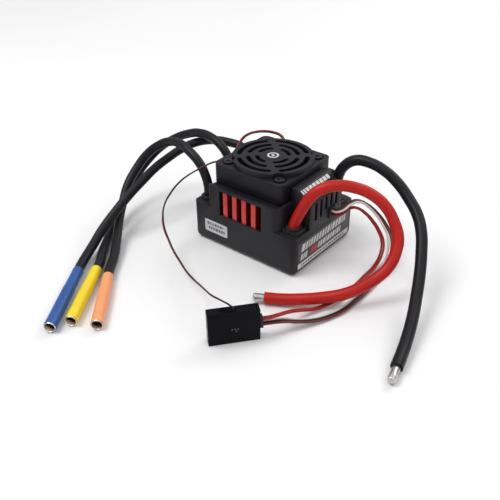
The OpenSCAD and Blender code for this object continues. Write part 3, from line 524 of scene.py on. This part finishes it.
def make_tip(name, route, length, seed):
    """The stripped end of a cable: strands twisted together and tinned, a few of them astray."""
    a, b = Vector(route[-2]), Vector(route[-1])
    rng = random.Random(seed)
    lobes = 11
    phase = [rng.uniform(-0.3, 0.3) for _ in range(lobes)]

    def wobble(angle, z):
        turn = angle + 0.16 * z
        k = int((turn / (2 * math.pi) * lobes) % lobes)
        return 0.93 + 0.07 * abs(math.cos(turn * lobes / 2)) + 0.03 * math.sin(3 * angle + phase[k] + z)

    shape = [(1.55, -0.4), (1.62, 0.1), (1.66, 0.3), (1.7, 0.5), (1.76, 0.65), (1.78, 0.8), (1.66, 0.9),
             (1.3, 0.96), (0.7, 0.99)]
    profile = [(1.5, -0.3)] + [(r, max(z, -0.06) * length) for r, z in shape[1:]]
    bm = bmesh.new()
    rings = lathe(bm, profile, 88, wobble)
    cap(bm, rings[0])
    cap(bm, list(reversed(rings[-1])))
    for n in range(9):
        angle = 2 * math.pi * n / 9 + rng.uniform(-0.2, 0.2)
        lean = rng.uniform(0.0, 0.12)
        line = []
        for k in range(7):
            z = length * (0.3 + 0.1 * k) * 0.97
            r = min(1.5 + lean * k * 0.4, 1.74)
            t = angle + 0.16 * z
            line.append(Vector((r * math.cos(t), r * math.sin(t), z)))
        strand(bm, line, 0.13)
    obj = mesh_object(name + "_skin", bm, 60)
    obj.matrix_world = frame_along(b, b + (b - a))
    finish_piece(obj, SLOT[name], stands_for=(name,))


def strand(bm, line, r, sides=6):
    rings = []
    for i, p in enumerate(line):
        h = (line[min(i + 1, len(line) - 1)] - line[max(i - 1, 0)]).normalized()
        n = h.cross(Vector((0, 0, 1)) if abs(h.z) < 0.9 else Vector((1, 0, 0))).normalized()
        m = h.cross(n)
        rings.append([bm.verts.new((p + (n * math.cos(a) + m * math.sin(a)) * r) * MM)
                      for a in (2 * math.pi * k / sides for k in range(sides))])
    for p, q in zip(rings, rings[1:]):
        for k in range(sides):
            bm.faces.new((p[k], p[(k + 1) % sides], q[(k + 1) % sides], q[k]))
    cap(bm, list(reversed(rings[0])))
    cap(bm, rings[-1])


def block(bm, at, u, v, w, d, h, t, skew=0.0):
    """A thin printed block: w along u, h along v, t thick along u x v, leaning by skew."""
    n = u.cross(v)
    corners = [at, at + u * w, at + u * (w + skew * h) + v * h, at + u * (skew * h) + v * h]
    low = [bm.verts.new((c + n * d) * MM) for c in corners]
    high = [bm.verts.new((c + n * (d + t)) * MM) for c in corners]
    bm.faces.new(high)
    bm.faces.new(list(reversed(low)))
    for k in range(4):
        bm.faces.new((low[k], low[(k + 1) % 4], high[(k + 1) % 4], high[k]))


LABEL_T, PRINT_T = 0.15, 0.03  # thickness of a label and of its print
SIDE_LABEL_AT, SIDE_LABEL = Vector((-22.5, -24, 5.8)), (13.8, 6.3, 0.7)  # width, height, corner radius
END_LABEL_AT, END_LABEL = Vector((29.3, -20.9, 2.6)), (41.5, 13.4, 0.6)
HOOD_CREST, HOOD_RUN, HOOD_FALL = Vector((22.6, -11.6, 37)), 6.7, 6.0  # the slope's top edge and its extent


def plate(name, at, u, v, w, h, r, slot_name):
    """A label: a thin plate with round corners and a rolled edge."""
    n, t = u.cross(v), LABEL_T
    outline = []
    for cx, cy, a0 in ((w - r, h - r, 0), (r, h - r, 90), (r, r, 180), (w - r, r, 270)):
        for k in range(7):
            a = math.radians(a0 + 15 * k)
            outline.append((cx, cy, math.cos(a), math.sin(a)))
    bm = bmesh.new()
    rings = []
    for inset, z in ((0, 0.0), (0, t * 0.6), (0.06, t)):
        rings.append([bm.verts.new((at + u * (cx + (r - inset) * ca) + v * (cy + (r - inset) * sa) + n * z)
                                   * MM) for cx, cy, ca, sa in outline])
    for p, q in zip(rings, rings[1:]):
        for k in range(len(p)):
            m = (k + 1) % len(p)
            bm.faces.new((p[k], p[m], q[m], q[k]))
    bm.faces.new(rings[-1])
    bm.faces.new(list(reversed(rings[0])))
    obj = mesh_object(name + "_skin", bm, 30)
    finish_piece(obj, slot_name, stands_for=(name,))


def bar_row(seed, at, u, length, h, thin, wide, gap, d, skew):
    """A row of plain leaning bars of uneven width, in place of print."""
    rng, x, row = random.Random(seed), 0, []
    while x < length - thin:
        w = min(rng.uniform(thin, wide), length - x)
        row.append((at + u * x, w, h, d, skew))
        x += w + gap
    return row


def printed(name, slot_name, blocks, u, v):
    bm = bmesh.new()
    for at, w, h, d, skew in blocks:
        block(bm, at, u, v, w, d, h, PRINT_T, skew)
    return finish_piece(mesh_object(name, bm, 30), slot_name)


def make_labels():
    x_axis, y_axis, z_axis = Vector((1, 0, 0)), Vector((0, 1, 0)), Vector((0, 0, 1))
    # side label: pale plate with two rows of grey bars
    at = SIDE_LABEL_AT
    plate("side_label", at, x_axis, z_axis, *SIDE_LABEL, "label_white")
    bars = bar_row("upper", at + x_axis * 1.6 + z_axis * 3.9, x_axis, 10, 1.3, 0.4, 1.3, 0.45, LABEL_T, 0)
    bars += bar_row("lower", at + x_axis * 2.4 + z_axis * 1.5, x_axis, 9.8, 1.5, 0.4, 1.3, 0.45, LABEL_T, 0)
    printed("side_label_print", "print_grey", bars, x_axis, z_axis)
    # end label: dark plate, a pale band low on it, two rows of leaning bars above
    at = END_LABEL_AT
    plate("end_label", at, y_axis, z_axis, *END_LABEL, "label_dark")
    tall = at + y_axis * 2.4 + z_axis * 8.3
    low = at + y_axis * 2 + z_axis * 4
    white = [(at + y_axis * 0.2 + z_axis * 0.1, 41.1, 2.6, LABEL_T, 0)]
    white += bar_row("tall", tall, y_axis, 36, 3.7, 0.9, 2.4, 0.7, LABEL_T, 0.25)
    white += bar_row("low", low, y_axis, 5.6, 3, 0.7, 1.9, 0.6, LABEL_T, 0.25)
    white += bar_row("right", low + y_axis * 13.5, y_axis, 18.5, 3, 0.7, 1.9, 0.6, LABEL_T, 0.25)
    red = bar_row("red", low + y_axis * 8.1, y_axis, 4.8, 3, 1.2, 2.1, 0.6, LABEL_T, 0.25)
    small = bar_row("end", at + y_axis * 2.5 + z_axis * 0.9, y_axis, 36, 0.9, 0.5, 1.7, 0.5,
                    LABEL_T + PRINT_T, 0.2)
    printed("end_label_print", "print_white", white, y_axis, z_axis)
    printed("end_label_print_red", "print_red", red, y_axis, z_axis)
    printed("end_label_print_small", "print_grey", small, y_axis, z_axis)
    # hood label: a row of pale bars on the slope
    lean = math.atan2(HOOD_FALL, HOOD_RUN)
    down = Vector((math.cos(lean), 0, -math.sin(lean)))
    at = HOOD_CREST + down * 2.85
    bm = bmesh.new()
    for p, w, h, d, skew in bar_row("hood", at, y_axis, 21.4, 2.1, 0.8, 2.2, 0.6, 0.0, -0.1):
        block(bm, p, y_axis, -down, w, d, h, 0.1, skew)
    obj = mesh_object("hood_label_skin", bm, 30)
    finish_piece(obj, "print_white", stands_for=("hood_label",))


def make_box_marks():
    u, v = ALONG, Vector((0, 0, 1))
    at = BOX_AT - REARWARD * 0.02
    marks = [(at + u * (9.2 + 1.15 * n) + v * z, 0.55, 0.5, 0.0, 0.1)
             for n, z in ((0, 6.5), (1, 6.6), (2, 6.5), (1.4, 5.6))]
    printed("switch_box_marks", "print_grey", marks, u, v)


def make_skins():
    soften("case_shell", 0.35, steps=3, edge="case_edge_highlight")
    soften("fan_cover", 0.35, steps=3, edge="case_edge_highlight")
    soften("heat_sink", 0.22)
    soften("bottom_plate", 0.15)
    soften("fan_screws", 0.14)
    soften("fan_impeller", 0.15, "rotor")
    soften("battery_grommets", 0.15)
    soften("motor_grommets", 0.15)
    soften("control_grommet", 0.15)
    soften("input_capacitors", 0.3)
    soften("switch_box_shell", 0.3, steps=3, edge="box_edge_highlight")
    soften("switch_box_cover", 0.3, steps=3, edge="box_edge_highlight")
    soften("box_strain_relief", 0.2)
    for key in SLEEVES:
        make_sleeve(key)
        make_socket(key)
    make_tip("battery_tip_red", BATTERY_RED, 5.0, "red tip")
    make_tip("battery_tip_black", BATTERY_BLACK, 7.6, "black tip")
    make_labels()
    make_box_marks()


make_skins()
make_leads()

# ---- CAD nodes that stay ----
for name, node in nodes.items():
    paint(node, SLOT[name])

# ---- Floor, light ----
FLOOR_GAP = 0.0002  # m
HORIZON, ZENITH, ZENITH_FROM = 0.2, 0.95, 0.9


def make_stage():
    bm = bmesh.new()
    bmesh.ops.create_grid(bm, x_segments=1, y_segments=1, size=3)
    floor = mesh_object("floor", bm)
    floor.location.z = -FLOOR_GAP
    m = Nodes("floor")
    m.link(m.ramp(m.noise(6, 2), [(0.3, (0.78, 0.78, 0.79)), (0.7, (0.8, 0.8, 0.805))]),
           m.shader.inputs["Base Color"])
    m.link(m.span(m.noise(200), 0.6, 0.7), m.shader.inputs["Roughness"])
    floor.data.materials.append(m.mat)


def light(name, at, towards, size, power):
    data = bpy.data.lights.new(name, "AREA")
    data.shape = "DISK"
    data.size = size
    data.energy = power
    obj = new_object(name, data)
    obj.location = at
    obj.rotation_mode = "QUATERNION"
    obj.rotation_quaternion = (Vector(at) - Vector(towards)).to_track_quat("Z", "Y")


make_stage()
light("key", (-0.3, -0.35, 0.85), (0, -0.03, 0), 0.45, 4.1)
light("fill", (0.75, -0.3, 0.5), (0, -0.03, 0), 0.7, 0.8)
light("rim", (0.1, 0.8, 0.6), (0, 0, 0.02), 0.6, 3)


def make_world():
    """A studio tent: bright overhead, dim at the horizon."""
    world = bpy.data.worlds.new("world")
    world.use_nodes = True
    tree = world.node_tree
    back = tree.nodes["Background"]
    split = tree.nodes.new("ShaderNodeSeparateXYZ")
    tree.links.new(tree.nodes.new("ShaderNodeTexCoord").outputs["Generated"], split.inputs[0])
    rise = tree.nodes.new("ShaderNodeMapRange")
    rise.inputs["From Max"].default_value = ZENITH_FROM
    rise.inputs["To Min"].default_value = HORIZON
    rise.inputs["To Max"].default_value = ZENITH
    tree.links.new(split.outputs["Z"], rise.inputs["Value"])
    tree.links.new(rise.outputs[0], back.inputs["Strength"])
    back.inputs["Color"].default_value = (1, 1, 1, 1)
    scene.world = world


make_world()
scene.view_settings.view_transform = "Standard"
